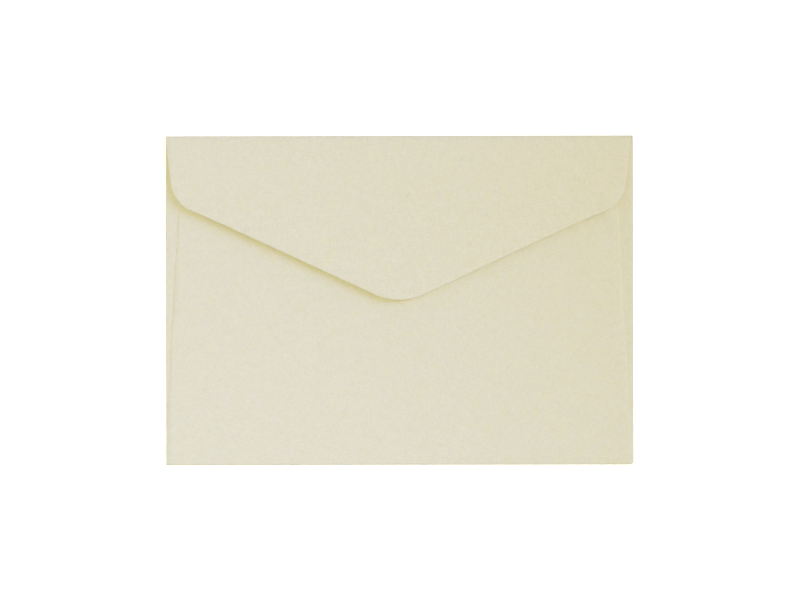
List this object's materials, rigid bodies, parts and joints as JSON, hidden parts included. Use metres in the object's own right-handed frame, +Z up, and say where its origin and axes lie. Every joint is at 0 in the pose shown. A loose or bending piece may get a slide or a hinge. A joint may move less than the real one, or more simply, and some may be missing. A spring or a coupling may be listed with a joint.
{
  "type": "envelope",
  "caption": "Small landscape envelope of cream paper, folded from one sheet with glued side seams, a gummed pointed flap hinged along its long edge and a thin pocket.",
  "frame": {"origin": "middle of the address face, on the surface that the envelope lies on", "axes": "+X to the right along the long edge, +Y towards the seal flap's crease, +Z up out of the flap side"},
  "size_m": [0.162, 0.114, 0.0036],
  "materials": {
    "paper": "uncoated cream writing paper",
    "dried_glue": "dried seam glue",
    "gum": "remoistenable gum, slightly glossy"
  },
  "bodies": {
    "pocket": {"front_panel": "paper", "back_panel": "paper", "bottom_crease": "paper", "left_side_flap": "paper", "right_side_flap": "paper", "left_crease": "paper", "right_crease": "paper", "left_seam_glue": "dried_glue", "right_seam_glue": "dried_glue", "pocket_top_crease": "paper"},
    "flap": {"seal_flap": "paper", "flap_top_crease": "paper", "flap_gum": "gum"}
  },
  "joints": [
    {"name": "flap_crease", "type": "hinge", "parent": "pocket", "child": "flap", "pos_m": [0, 0.057, 0.00072], "axis": [-1, 0, 0], "range_deg": [-2.2, 174.3]}
  ]
}
